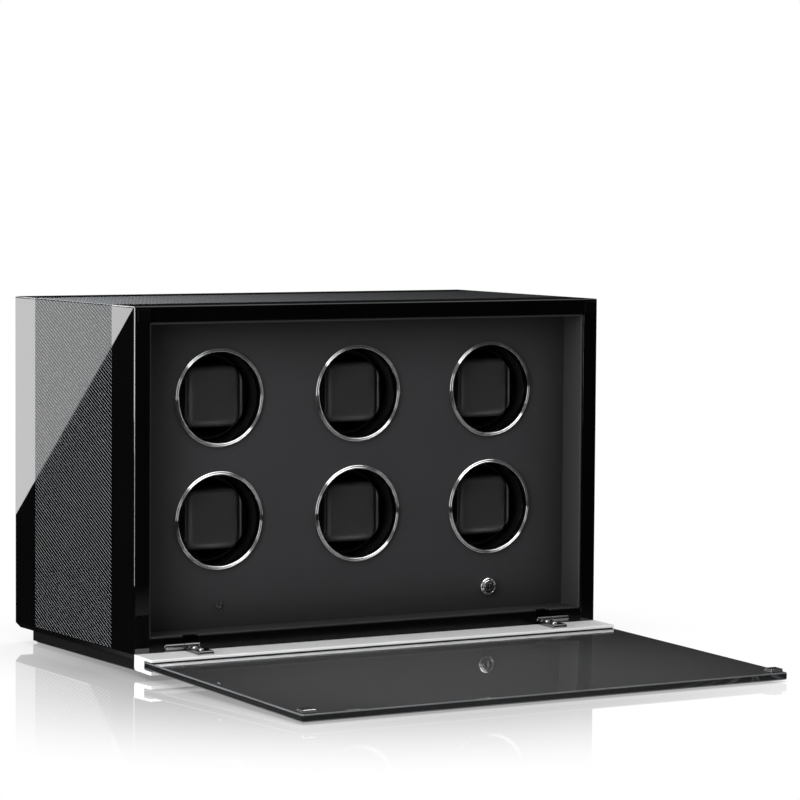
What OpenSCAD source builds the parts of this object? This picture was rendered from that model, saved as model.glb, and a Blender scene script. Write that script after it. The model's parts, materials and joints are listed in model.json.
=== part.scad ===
// Six-station watch winder cabinet with a bottom-hinged glass door, shown open.
// X runs to the right, Y to the back and Z up. The origin is the centre of the base pad's
// underside, under the middle of the cabinet. Most modules measure Y from the cabinet's front.

/* [Cabinet] */
// Width of the cabinet
cab_w = 480; // [440:1:520]
// Depth of the cabinet, without the door
cab_d = 244; // [230:1:280]
// Height of the cabinet's top above the ground
cab_top = 319; // [312:1:340]
// Thickness of the side panels
side_t = 15; // [13:1:18]
// Thickness of the top panel
top_t = 14; // [12:1:17]
// Rounding of the cabinet's outer edges
edge_r = 1.5; // [0.8:0.1:3]
// Bevel along the lower edges of the sides
bevel = 5.5; // [3:0.5:7]

/* [Base] */
// Height of the cabinet's underside above the ground
base_h = 12.5; // [10:0.5:14]
// Thickness of the pad under the plinth
pad_t = 1.5; // [1:0.5:3]
// How far the plinth stands back from the sides
plinth_inset_x = 11.5; // [8:0.5:20]
// How far the plinth stands back from the front
plinth_inset_front = 2.5; // [2:0.5:10]
// How far the plinth stands back from the rear
plinth_inset_rear = 13; // [8:0.5:20]

/* [Recess] */
// Depth of the front recess, to the front panel
recess_depth = 30.5; // [28:0.5:34]
// Thickness of the leatherette-covered liner
liner_t = 2; // [1.5:0.5:3]
// Height of the sill's surface above the ground
sill_z = 32; // [31:0.5:36]
// Thickness of the front panel
panel_t = 5; // [4:0.5:6]

/* [Carbon inlay] */
// Width of the plain lacquered strips in front of and behind the inlay
strip_w = 44; // [30:1:60]
// Thickness of the inlay
inlay_t = 0.8; // [0.6:0.1:1.2]

/* [Watch stations] */
// Distance between the columns of stations
column_pitch = 141.3; // [135:0.1:146]
// Distance between the two rows of stations
row_pitch = 108.9; // [104:0.1:114]
// Height midway between the rows
row_mid_z = 181.5; // [178:0.5:185]
// Outer radius of the bezel rings
bezel_r = 43.8; // [43:0.1:45]
// Bore radius of the bezel rings and of the sleeves
bore_r = 40.6; // [40:0.1:41]
// How far the bezel rings stand out from the panel
bezel_out = 2.2; // [1.5:0.1:3]

/* [Rotor] */
// Outer radius of the rotor cup
cup_r = 38.2; // [38:0.1:38.8]
// Wall of the rotor cup
cup_wall = 1.6; // [1.4:0.1:1.8]
// Distance of the rotor cup's rim from the cabinet's front
cup_front = 52; // [50:0.5:54]
// Distance of the rotor cup's back from the cabinet's front
cup_back = 91; // [90:0.5:92]
// Radius of the rotor shaft
shaft_r = 3; // [2.5:0.1:3.5]

/* [Cushion] */
// Width of the cushion's pad between its end plates
pad_w = 53.2; // [48:0.2:54]
// Height of the cushion
pad_h = 56; // [50:0.5:58]
// Depth of the cushion
pad_d = 46; // [40:0.5:46]
// Distance of the cushion's face from the cabinet's front
cushion_front = 38; // [37:0.5:40]
// Thickness of the end plates
end_plate_t = 1.8; // [1.5:0.1:1.9]

/* [Drive] */
// Distance of the mechanism plate from the cabinet's front
mech_y = 108; // [106:1:110]
// Thickness of the mechanism plate
mech_t = 4; // [3:0.5:5]
// Running radius of the belt on the rotor pulley
big_belt_r = 24; // [20:0.5:28]
// Running radius of the belt on the motor pulley
small_belt_r = 6; // [5:0.5:7]
// Sideways distance from a rotor's shaft to its motor's shaft
motor_dx = 55; // [53:0.5:57]
// Thickness of the flat drive belt
belt_t = 1.2; // [0.8:0.1:1.6]
// Width of the flat drive belt
belt_w = 4; // [3:0.5:5]
// Radius of a gear motor's body
motor_r = 12; // [10:0.5:12.5]

/* [Switch and window] */
// Height of the switch and the indicator window above the ground
control_z = 52; // [50:0.5:56]
// Radius of the switch's chrome flange
switch_r = 8.3; // [8:0.1:9]
// Radius of the push button
button_r = 5; // [4.5:0.1:5.5]
// Travel of the push button
button_travel = 1.5; // [1:0.1:2]
// Radius of the indicator window
window_r = 3.4; // [3:0.1:4]

/* [Hinges] */
// Height of the hinge axis above the ground
pivot_z = 22.2; // [21.5:0.1:23]
// Distance of the hinge axis behind the cabinet's front
pivot_y = 1; // [0.5:0.1:1.5]
// Radius of the hinge knuckles
knuckle_r = 3.2; // [3:0.1:3.4]
// Radius of the hinge pins
pin_r = 1.5; // [1.3:0.1:1.7]
// Distance of a hinge's outer end from the cabinet's middle
hinge_outer_x = 210; // [190:1:212]
// Length of the knuckle on the cabinet's half
cabinet_knuckle_l = 18.5; // [16:0.5:20]
// Length of the knuckle on the door's half
door_knuckle_l = 14.7; // [13:0.1:16]

/* [Door] */
// Length of the door from the cabinet's front to the glass's far edge
door_l = 297; // [290:1:299]
// How far the open door slopes down towards its far edge, in degrees
door_slope = 1.4; // [0:0.1:1.5]
// Depth of the aluminium profile
profile_d = 32; // [28:0.5:36]
// Height of the aluminium profile
profile_h = 13.5; // [12.5:0.1:14]
// Thickness of the glass
glass_t = 6.5; // [4:0.5:7]
// Depth of the slot that holds the glass
slot_d = 14; // [12:0.5:16]

/* [Hidden] */
$fn = 96;

half_w = cab_w / 2;
inner_x = half_w - side_t;
ceiling_z = cab_top - top_t;
floor_z = sill_z - liner_t;
plinth_w = cab_w - 2 * plinth_inset_x;
panel_front = recess_depth;
panel_back = recess_depth + panel_t;
big = 1000;

// Stations are numbered 0 to 5, left to right, with the upper row first.
function station_x(i) = (i % 3 - 1) * column_pitch;
function station_z(i) = row_mid_z + (i < 3 ? 1 : -1) * row_pitch / 2;

switch_x = column_pitch;
control_hole_r = 6.2;
control_nut_r = 8.2;
button_out = 4;
button_skirt = 4;
plunger_r = 1.5;
plunger_l = 9;
panel_hole_r = 42;
sleeve_flange_r = 48;
sleeve_wall = 1.8;
sleeve_back = 94;

rear_cover_t = 4;
rear_cover_gap = 0.3;
rear_ledge = 5;

pulley_y0 = 116;
pulley_y1 = 124;
belt_y = (pulley_y0 + pulley_y1) / 2;
belt_gap = 0.3;
flange_over = 1.6;
groove_w = belt_w + 1;
motor_l = 40;
motor_shaft_r = 2;
bush_r = 5.5;
running_gap = 0.05;

profile_top = pivot_z - 3.8;
profile_rear = -1;
profile_front = profile_rear - profile_d;
slot_h = glass_t + 1.4;
slot_top = profile_top - 2.5;
gasket_t = 0.7;
glass_top = slot_top - gasket_t;
glass_rear = profile_front + slot_d - gasket_t;
leaf_t = 3.2;
leaf_l = 28;
leaf_front = -leaf_l;
hinge_gap = 0.5;
knuckle_x0 = hinge_outer_x - cabinet_knuckle_l;
door_knuckle_x1 = knuckle_x0 - hinge_gap;
door_knuckle_x0 = door_knuckle_x1 - door_knuckle_l;
leaf_mid_x = (door_knuckle_x0 + door_knuckle_x1) / 2;
mortise_gap = 0.6;
mortise_d = 5;
notch_d = 10;
leaf_screw_ys = [-6, -18];
plate_screw_xs = [knuckle_x0 + 4.5, hinge_outer_x - 4.5];
plate_screw_z = base_h + 3.6;

magnet_w = 12;
magnet_h = 11;
magnet_out = 2.4;
magnet_in = 6;
magnet_x = half_w - 8.7;
magnet_z = cab_top - 8;
catch_t = 2.8;

// ---------- Helpers ----------

// Puts parts that are measured from the cabinet's front face in place.
module from_front() {
    translate([0, -cab_d / 2, 0]) children();
}

// Puts door parts, drawn level, on the slightly sloping open door.
module on_door() {
    from_front()
        translate([0, pivot_y, pivot_z]) rotate([door_slope, 0, 0])
            translate([0, -pivot_y, -pivot_z]) children();
}

module at_station(i) {
    from_front() translate([station_x(i), 0, station_z(i)]) children();
}

// A cylinder along Y from y0 to y1.
module y_rod(r, y0, y1) {
    translate([0, y0, 0]) rotate([-90, 0, 0]) cylinder(r = r, h = y1 - y0);
}

module y_tube(r_out, r_in, y0, y1) {
    difference() {
        y_rod(r_out, y0, y1);
        y_rod(r_in, y0 - 1, y1 + 1);
    }
}

// A cylinder along X from x0 to x1.
module x_rod(r, x0, x1) {
    translate([x0, 0, 0]) rotate([0, 90, 0]) cylinder(r = r, h = x1 - x0);
}

// A box given by its lowest and highest corners.
module span_box(low, high) {
    translate(low) cube(high - low);
}

// An outline in X and Z, extruded from y0 to y1.
module extrude_y(y0, y1) {
    translate([0, y1, 0]) rotate([90, 0, 0]) linear_extrude(y1 - y0) children();
}

// An outline in Y and Z, extruded from x0 to x1.
module extrude_x(x0, x1) {
    translate([x0, 0, 0]) rotate([90, 0, 90]) linear_extrude(x1 - x0) children();
}

// A rectangle from low to high with all four corners rounded.
module round_rect(low, high, r) {
    union() {
        translate([low[0] + r, low[1]]) square([high[0] - low[0] - 2 * r, high[1] - low[1]]);
        translate([low[0], low[1] + r]) square([high[0] - low[0], high[1] - low[1] - 2 * r]);
        for (x = [low[0] + r, high[0] - r], y = [low[1] + r, high[1] - r]) {
            translate([x, y]) circle(r);
        }
    }
}

module both_sides() {
    children();
    mirror([1, 0, 0]) children();
}

// A round pan head with a cross recess, pointing along +Z from the origin.
module pan_head(r, h) {
    difference() {
        union() {
            cylinder(r = r, h = h * 0.5);
            translate([0, 0, h * 0.5]) cylinder(r1 = r, r2 = r * 0.72, h = h * 0.5);
        }
        for (a = [0, 90]) {
            rotate([0, 0, a]) translate([-r * 0.5, -r * 0.13, h * 0.5]) cube([r, r * 0.26, h]);
        }
    }
}

// ---------- Base ----------

module base_pad() {
    color("dimgray")
        from_front() span_box(
            [-plinth_w / 2 + 3, plinth_inset_front + 1, 0],
            [plinth_w / 2 - 3, cab_d - plinth_inset_rear - 3, pad_t]
        );
}

module base_plinth() {
    color("black")
        from_front() translate([0, 0, pad_t]) linear_extrude(base_h - pad_t)
            round_rect(
                [-plinth_w / 2, plinth_inset_front],
                [plinth_w / 2, cab_d - plinth_inset_rear],
                2
            );
}

// ---------- Cabinet ----------

// The cabinet's outer form: a box with rounded edges and bevels along the lower side edges.
module cabinet_envelope() {
    intersection() {
        extrude_y(-1, cab_d + 1) difference() {
            round_rect([-half_w, base_h - 10], [half_w, cab_top], edge_r);
            translate([-big, -big]) square([2 * big, big + base_h]);
            for (s = [-1, 1]) {
                translate([s * half_w, base_h]) rotate(45) square(bevel * sqrt(2), center = true);
            }
        }
        translate([0, 0, base_h - 1]) linear_extrude(cab_top)
            round_rect([-half_w, 0], [half_w, cab_d], edge_r);
        extrude_x(-half_w - 1, half_w + 1)
            round_rect([0, base_h - 10], [cab_d, cab_top], edge_r);
    }
}

// The wedge of the envelope that belongs to the right side, mitred to the top panel.
module side_sector() {
    extrude_y(-2, cab_d + 2) polygon([
        [inner_x, base_h - 5],
        [half_w + 5, base_h - 5],
        [half_w + 5, cab_top + 5 * top_t / side_t],
        [inner_x, ceiling_z]
    ]);
}

module inlay_band(grow) {
    translate([-big, strip_w - grow, -big]) cube([2 * big, cab_d - 2 * strip_w + 2 * grow, 2 * big]);
}

// A shallow skin on the outside of the cabinet, where the carbon inlay lies.
module inlay_skin() {
    intersection() {
        difference() {
            cabinet_envelope();
            span_box(
                [-half_w + inlay_t, -5, -5],
                [half_w - inlay_t, cab_d + 5, cab_top - inlay_t]
            );
        }
        translate([0, 0, base_h + bevel + 1]) span_box([-big, -big, 0], [big, big, big]);
        inlay_band(0);
    }
}

// The rebate for the rear cover.
module rear_rebate() {
    span_box(
        [-inner_x - rear_ledge, cab_d - rear_cover_t, floor_z - rear_ledge],
        [inner_x + rear_ledge, cab_d + 1, ceiling_z + rear_ledge]
    );
}

module magnet_pocket() {
    span_box(
        [magnet_x - magnet_w / 2, -1, magnet_z - magnet_h / 2],
        [magnet_x + magnet_w / 2, magnet_in, magnet_z + magnet_h / 2]
    );
}

module right_side_form() {
    from_front() difference() {
        intersection() {
            cabinet_envelope();
            side_sector();
        }
        inlay_skin();
        rear_rebate();
        magnet_pocket();
    }
}

module right_side_panel() {
    color("black") right_side_form();
}

module left_side_panel() {
    color("black") mirror([1, 0, 0]) right_side_form();
}

module top_panel() {
    color("black") from_front() difference() {
        cabinet_envelope();
        both_sides() side_sector();
        span_box([-inner_x - 5, -5, -5], [inner_x + 5, cab_d + 5, ceiling_z]);
        inlay_skin();
        rear_rebate();
        both_sides() magnet_pocket();
    }
}

// The pocket for a hinge: shallow behind both knuckles, and a notch through the sill for the leaf.
module hinge_mortise() {
    span_box(
        [door_knuckle_x0 - mortise_gap, -1, floor_z - 18],
        [hinge_outer_x + mortise_gap, mortise_d, pivot_z + knuckle_r + mortise_gap]
    );
    span_box(
        [door_knuckle_x0 - mortise_gap, -1, pivot_z],
        [door_knuckle_x1 + mortise_gap, notch_d, sill_z + 1]
    );
}

module bottom_panel() {
    color("black") from_front() difference() {
        intersection() {
            cabinet_envelope();
            span_box([-inner_x, -5, base_h - 5], [inner_x, cab_d + 5, floor_z]);
        }
        both_sides() hinge_mortise();
        rear_rebate();
    }
}

module right_inlay_form() {
    from_front() intersection() {
        inlay_skin();
        side_sector();
    }
}

module carbon_inlay_right() {
    color("dimgray") right_inlay_form();
}

module carbon_inlay_left() {
    color("dimgray") mirror([1, 0, 0]) right_inlay_form();
}

module carbon_inlay_top() {
    color("dimgray") from_front() difference() {
        inlay_skin();
        both_sides() side_sector();
    }
}

// ---------- Rear ----------

rear_screw_span = inner_x - 7;
rear_screw_xs = [-rear_screw_span, -rear_screw_span / 3, rear_screw_span / 3, rear_screw_span];
rear_screw_zs = [floor_z - rear_ledge / 2, ceiling_z + rear_ledge / 2];
inlet_x = -150;
inlet_z = 60;
inlet_r = 5.5;
vent_xs = [-90, 0, 90];
vent_z = 240;
vent_pitch = 9;
vent_l = 40;
vent_h = 3;

module rear_cover() {
    cover_x = inner_x + rear_ledge - rear_cover_gap;
    color("black") from_front() difference() {
        span_box(
            [-cover_x, cab_d - rear_cover_t, floor_z - rear_ledge + rear_cover_gap],
            [cover_x, cab_d - 0.5, ceiling_z + rear_ledge - rear_cover_gap]
        );
        translate([inlet_x, 0, inlet_z]) y_rod(inlet_r, cab_d - 10, cab_d + 5);
        for (x = vent_xs, row = [0 : 4]) {
            translate([x - vent_l / 2, cab_d - 10, vent_z + row * vent_pitch])
                cube([vent_l, 20, vent_h]);
        }
    }
}

module rear_cover_screws() {
    color("silver") from_front()
        for (x = rear_screw_xs, z = rear_screw_zs) {
            translate([x, cab_d - 0.5, z]) rotate([-90, 0, 0]) pan_head(2.4, 1.4);
        }
}

// The barrel jack: a threaded bush through the rear cover with the socket and its centre pin.
module dc_inlet() {
    color("dimgray") from_front() translate([inlet_x, 0, inlet_z]) {
        difference() {
            union() {
                y_rod(inlet_r - 0.1, cab_d - 14, cab_d + 1.5);
                y_rod(7.4, cab_d - 0.5, cab_d + 1.5);
                y_rod(7, cab_d - 8, cab_d - rear_cover_t);
                span_box([-4.5, cab_d - 22, -4.5], [4.5, cab_d - 13, 4.5]);
            }
            y_rod(2.9, cab_d - 9, cab_d + 3);
        }
        y_rod(1, cab_d - 10, cab_d + 0.5);
    }
}

// ---------- Recess ----------

module recess_liner() {
    color("dimgray") from_front() difference() {
        span_box([-inner_x, 1.2, floor_z], [inner_x, recess_depth, ceiling_z]);
        span_box(
            [-inner_x + liner_t, 0, sill_z],
            [inner_x - liner_t, recess_depth + 1, ceiling_z - liner_t]
        );
        both_sides() hinge_mortise();
    }
}

module front_panel() {
    color("dimgray") from_front() difference() {
        span_box([-inner_x, panel_front, floor_z], [inner_x, panel_back, ceiling_z]);
        for (i = [0 : 5]) {
            translate([station_x(i), 0, station_z(i)]) y_rod(panel_hole_r, 20, 45);
        }
        translate([switch_x, 0, control_z]) y_rod(control_hole_r, 20, 45);
        translate([-switch_x, 0, control_z]) y_rod(window_r + 0.1, 20, 45);
    }
}

// One stepped and rounded chrome ring, drawn as a profile turned about Y.
module bezel_ring() {
    bead_r = 1.1;
    rotate([-90, 0, 0]) rotate_extrude() {
        translate([bore_r, panel_front - bezel_out + bead_r])
            square([1.2, panel_t + bezel_out - bead_r]);
        translate([bore_r, panel_front - 1.1]) square([bezel_r - bore_r, 1.1]);
        translate([bore_r + bead_r, panel_front - bezel_out + bead_r]) circle(bead_r);
        translate([bezel_r - 0.8, panel_front - 1.1]) circle(0.8);
    }
}

module bezel_rings() {
    color("silver") for (i = [0 : 5]) at_station(i) intersection() {
        bezel_ring();
        y_rod(bezel_r + 1, 20, panel_back);
        union() {
            y_rod(panel_hole_r - 0.1, 20, panel_back + 1);
            y_rod(bezel_r + 1, 20, panel_front);
        }
    }
}

module rotor_sleeves() {
    color("black") for (i = [0 : 5]) at_station(i) difference() {
        union() {
            y_rod(sleeve_flange_r, panel_back, panel_back + 2);
            y_rod(bore_r + sleeve_wall, panel_back, sleeve_back);
        }
        y_rod(bore_r, 0, sleeve_back + 1);
    }
}

// ---------- Mechanism ----------

post_xs = [-inner_x + 9, -70, 70, inner_x - 9];
post_zs = [floor_z + 9, ceiling_z - 9];

// The plate stands off the front panel on eight posts.
module mechanism_plate() {
    color("gray") from_front() difference() {
        union() {
            span_box([-inner_x + 0.5, mech_y, floor_z], [inner_x - 0.5, mech_y + mech_t, ceiling_z]);
            for (x = post_xs, z = post_zs) {
                translate([x, 0, z]) y_rod(5, panel_back, mech_y + 1);
            }
        }
        for (i = [0 : 5]) translate([station_x(i), 0, station_z(i)]) {
            y_rod(bush_r, mech_y - 5, mech_y + 20);
            translate([motor_dx, 0, 0]) y_rod(motor_shaft_r + 1.5, mech_y - 5, mech_y + 20);
        }
    }
}

module mechanism_plate_screws() {
    color("silver") from_front() for (x = post_xs, z = post_zs) {
        translate([x, mech_y + mech_t, z]) rotate([-90, 0, 0]) pan_head(3.2, 2);
    }
}

module shaft_bushes() {
    color("goldenrod") for (i = [0 : 5]) at_station(i) difference() {
        union() {
            y_rod(bush_r, mech_y, mech_y + mech_t);
            y_rod(bush_r + 2, mech_y - 1.5, mech_y);
        }
        y_rod(shaft_r + running_gap, mech_y - 10, mech_y + 20);
    }
}

// A can motor with a gearbox, fixed to the front of the mechanism plate.
module gear_motors() {
    color("silver") for (i = [0 : 5]) at_station(i) translate([motor_dx, 0, 0]) difference() {
        union() {
            y_rod(motor_r, mech_y - 14, mech_y);
            y_rod(motor_r - 1, mech_y - motor_l, mech_y - 14);
            y_rod(3, mech_y - motor_l - 2, mech_y - motor_l);
        }
        y_rod(motor_shaft_r + running_gap, mech_y - 10, mech_y + 10);
    }
}

module belt_groove(r_out, r_in) {
    difference() {
        y_rod(r_out, belt_y - groove_w / 2, belt_y + groove_w / 2);
        y_rod(r_in, belt_y - groove_w, belt_y + groove_w);
    }
}

// A flanged pulley on Y whose groove bottom clears the belt.
module pulley(belt_r) {
    groove_r = belt_r - belt_t / 2 - belt_gap;
    difference() {
        y_rod(belt_r + flange_over, pulley_y0, pulley_y1);
        belt_groove(belt_r + flange_over + 1, groove_r);
    }
}

module motor_pulley(i) {
    color("ivory") at_station(i) translate([motor_dx, 0, 0]) {
        pulley(small_belt_r);
        y_rod(motor_shaft_r, mech_y - 9, pulley_y1 + 1);
        y_rod(motor_shaft_r + 1, mech_y + mech_t + 0.5, pulley_y0);
    }
}

// Points round both pulleys, at delta outside the belt's middle line.
function belt_loop(delta) =
    let (tilt = asin((big_belt_r - small_belt_r) / motor_dx), steps = 40)
    concat(
        [for (k = [0 : steps]) let (a = 90 - tilt + k * (180 + 2 * tilt) / steps)
            (big_belt_r + delta) * [cos(a), sin(a)]],
        [for (k = [0 : steps]) let (a = -90 + tilt + k * (180 - 2 * tilt) / steps)
            [motor_dx, 0] + (small_belt_r + delta) * [cos(a), sin(a)]]
    );

// A flat belt over both pulleys.
module drive_belt() {
    extrude_y(belt_y - belt_w / 2, belt_y + belt_w / 2) difference() {
        polygon(belt_loop(belt_t / 2));
        polygon(belt_loop(-belt_t / 2));
    }
}

module drive_belts() {
    color("black") for (i = [0 : 5]) at_station(i) drive_belt();
}

board_y = 214;
board_t = 1.6;

module control_board() {
    color("darkgreen") from_front() {
        span_box([-190, board_y, 90], [-110, board_y + board_t, 150]);
        span_box([-184, board_y - 9, 96], [-172, board_y, 144]);
        for (x = [-160, -145, -130]) {
            translate([x, 0, 104]) y_rod(4, board_y - 12, board_y);
            span_box([x - 4, board_y - 4, 122], [x + 4, board_y, 134]);
        }
    }
}

module board_standoffs() {
    color("silver") from_front() for (x = [-187, -113], z = [93, 147]) {
        translate([x, 0, z]) {
            y_rod(2.5, board_y + board_t, cab_d - rear_cover_t);
            translate([0, board_y, 0]) rotate([90, 0, 0]) pan_head(2.4, 1.5);
        }
    }
}

// ---------- Switch and window ----------

module switch_body() {
    color("silver") from_front() translate([switch_x, 0, control_z]) difference() {
        union() {
            y_rod(switch_r, panel_front - 1.6, panel_front);
            translate([0, panel_front - 1.6, 0]) rotate([90, 0, 0])
                cylinder(r1 = switch_r, r2 = switch_r - 1.4, h = 1);
            y_rod(control_hole_r - 0.1, panel_front, panel_front + 22);
            y_rod(control_nut_r, panel_back, panel_back + 2.5);
        }
        y_rod(button_r + running_gap, 0, panel_front + button_skirt + button_travel + 0.5);
        y_rod(plunger_r + 0.1, 0, panel_front + plunger_l + button_travel + 1);
    }
}

module push_button() {
    color("silver") from_front() translate([switch_x, 0, control_z]) {
        y_rod(button_r, panel_front - button_out, panel_front + button_skirt);
        y_rod(plunger_r, panel_front, panel_front + plunger_l);
    }
}

module indicator_window() {
    color("black") from_front() translate([-switch_x, 0, control_z]) {
        y_rod(window_r, panel_front - 0.6, panel_back + 3);
        translate([0, panel_front - 0.6, 0]) rotate([90, 0, 0])
            cylinder(r1 = window_r, r2 = window_r - 0.8, h = 0.6);
    }
}

// ---------- Hinges ----------

module at_pivot() {
    translate([0, pivot_y, pivot_z]) children();
}

module hinge_cabinet_leaves() {
    color("black") from_front() both_sides() difference() {
        union() {
            at_pivot() x_rod(knuckle_r, knuckle_x0, hinge_outer_x);
            span_box([knuckle_x0, 1.4, base_h + 1], [hinge_outer_x, mortise_d - 0.2, pivot_z]);
        }
        at_pivot() x_rod(pin_r + running_gap, knuckle_x0 - 1, hinge_outer_x + 1);
        for (x = plate_screw_xs) {
            translate([x, 0, plate_screw_z]) y_rod(1, -1, 10);
        }
    }
}

module hinge_cabinet_screws() {
    color("silver") from_front() both_sides() for (x = plate_screw_xs) {
        translate([x, 0, plate_screw_z]) y_rod(1, 1.4, mortise_d);
        translate([x, 1.4, plate_screw_z]) rotate([90, 0, 0]) pan_head(1.9, 0.9);
    }
}

module hinge_door_leaves() {
    color("black") on_door() both_sides() difference() {
        union() {
            at_pivot() x_rod(knuckle_r, door_knuckle_x0, door_knuckle_x1);
            extrude_x(door_knuckle_x0, door_knuckle_x1) difference() {
                translate([leaf_front, profile_top]) square([leaf_l + 1, leaf_t]);
                translate([leaf_front, profile_top + leaf_t]) rotate(45) square(1, center = true);
            }
        }
        at_pivot() x_rod(pin_r, door_knuckle_x0 - 1, door_knuckle_x1 + 1);
        for (y = leaf_screw_ys) {
            translate([leaf_mid_x, y, profile_top - 1]) cylinder(r = 1.2, h = 10);
        }
    }
}

module hinge_pins() {
    color("silver") on_door() both_sides() at_pivot() {
        x_rod(pin_r, door_knuckle_x0, hinge_outer_x);
    }
}

module hinge_leaf_screws() {
    color("silver") on_door() both_sides() for (y = leaf_screw_ys) {
        translate([leaf_mid_x, y, profile_top]) cylinder(r = 1.2, h = leaf_t);
        translate([leaf_mid_x, y, profile_top + leaf_t]) pan_head(2.4, 1.1);
    }
}

// ---------- Door ----------

module door_profile() {
    corner_r = 3;
    profile_low = profile_top - profile_h;
    color("silver") on_door() extrude_x(-half_w, half_w) difference() {
        union() {
            translate([profile_front, profile_low]) square([profile_d - corner_r, profile_h]);
            translate([profile_front, profile_low + corner_r])
                square([profile_d, profile_h - corner_r]);
            translate([profile_rear - corner_r, profile_low + corner_r]) circle(corner_r);
        }
        translate([profile_front - 1, slot_top - slot_h]) square([slot_d + 1, slot_h]);
    }
}

module glass_gasket() {
    color("black") on_door() extrude_x(-half_w + 1, half_w - 1) difference() {
        translate([profile_front, slot_top - slot_h]) square([slot_d, slot_h]);
        translate([profile_front - 1, glass_top - glass_t])
            square([slot_d + 1 - gasket_t, glass_t]);
    }
}

module door_glass() {
    color("dimgray") on_door() translate([0, 0, glass_top - glass_t]) linear_extrude(glass_t)
        difference() {
            round_rect([-half_w, -door_l], [half_w, glass_rear + 4], 2);
            translate([-big, glass_rear]) square(2 * big);
        }
}

module catch_plates() {
    catch_y = pivot_y + pivot_z - magnet_z;
    color("silver") on_door() both_sides() span_box(
        [magnet_x - magnet_w / 2, catch_y - magnet_h / 2, glass_top],
        [magnet_x + magnet_w / 2, catch_y + magnet_h / 2, glass_top + catch_t]
    );
}

module catch_magnets() {
    color("dimgray") from_front() both_sides() span_box(
        [magnet_x - magnet_w / 2, -magnet_out, magnet_z - magnet_h / 2],
        [magnet_x + magnet_w / 2, magnet_in, magnet_z + magnet_h / 2]
    );
}

// ---------- Rotors and cushions ----------

guide_gap = 0.6;
plate_out_x = pad_w / 2 + end_plate_t;

// A cup with a boss, two guide blocks that hold the cushion's end plates, the shaft and the pulley.
module rotor(i) {
    inner_r = cup_r - cup_wall;
    color("black") at_station(i) {
        difference() {
            union() {
                difference() {
                    y_rod(cup_r, cup_front, cup_back);
                    y_rod(inner_r, cup_front - 1, cup_back - 2.5);
                }
                intersection() {
                    y_rod(cup_r - cup_wall / 2, cup_front + 8, cup_back - 1);
                    both_sides() span_box(
                        [plate_out_x + guide_gap, cup_front + 8, -9],
                        [cup_r, cup_back - 1, 9]
                    );
                }
                y_rod(8, cup_back - 1, mech_y - 2);
            }
            y_rod(shaft_r, cup_back - 1, 200);
        }
        union() {
            y_rod(shaft_r, cup_back - 1, pulley_y1 + 2);
            pulley(big_belt_r);
            y_rod(shaft_r + 3, mech_y + mech_t + 0.4, pulley_y0);
        }
    }
}

// The padded roll that a watch is strapped round, kept inside the rotor cup's radius.
module cushion(i) {
    color("black") at_station(i) intersection() {
        extrude_x(-pad_w / 2, pad_w / 2)
            round_rect([cushion_front, -pad_h / 2], [cushion_front + pad_d, pad_h / 2], 9);
        y_rod(cup_r - cup_wall - 0.9, cushion_front - 1, cushion_front + pad_d + 1);
    }
}

module end_plates(i) {
    plate_half_h = 21.6;
    color("black") at_station(i) both_sides()
        extrude_x(pad_w / 2, plate_out_x)
            round_rect(
                [cushion_front + 1.5, -plate_half_h],
                [cushion_front + pad_d - 1.5, plate_half_h],
                10
            );
}

// ---------- Output ----------

base_pad();
base_plinth();
bottom_panel();
left_side_panel();
right_side_panel();
top_panel();
carbon_inlay_left();
carbon_inlay_right();
carbon_inlay_top();
rear_cover();
rear_cover_screws();
recess_liner();
front_panel();
bezel_rings();
rotor_sleeves();
mechanism_plate();
mechanism_plate_screws();
shaft_bushes();
gear_motors();
drive_belts();
control_board();
board_standoffs();
dc_inlet();
switch_body();
indicator_window();
hinge_cabinet_leaves();
hinge_cabinet_screws();
catch_magnets();
door_glass();
door_profile();
glass_gasket();
hinge_door_leaves();
hinge_pins();
hinge_leaf_screws();
catch_plates();
push_button();
rotor(0);  // rotor_1
rotor(1);  // rotor_2
rotor(2);  // rotor_3
rotor(3);  // rotor_4
rotor(4);  // rotor_5
rotor(5);  // rotor_6
cushion(0);  // cushion_1
cushion(1);  // cushion_2
cushion(2);  // cushion_3
cushion(3);  // cushion_4
cushion(4);  // cushion_5
cushion(5);  // cushion_6
end_plates(0);  // end_plates_1
end_plates(1);  // end_plates_2
end_plates(2);  // end_plates_3
end_plates(3);  // end_plates_4
end_plates(4);  // end_plates_5
end_plates(5);  // end_plates_6
motor_pulley(0);  // motor_pulley_1
motor_pulley(1);  // motor_pulley_2
motor_pulley(2);  // motor_pulley_3
motor_pulley(3);  // motor_pulley_4
motor_pulley(4);  // motor_pulley_5
motor_pulley(5);  // motor_pulley_6
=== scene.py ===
"""Looks for the six-station watch winder cabinet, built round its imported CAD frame.

Lengths are in metres, in the CAD's frame: X right, Y back, Z up, door lying open towards -Y.
"""

import json
import math

import bpy
from mathutils import Euler, Matrix, Vector
from mathutils.bvhtree import BVHTree


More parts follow.
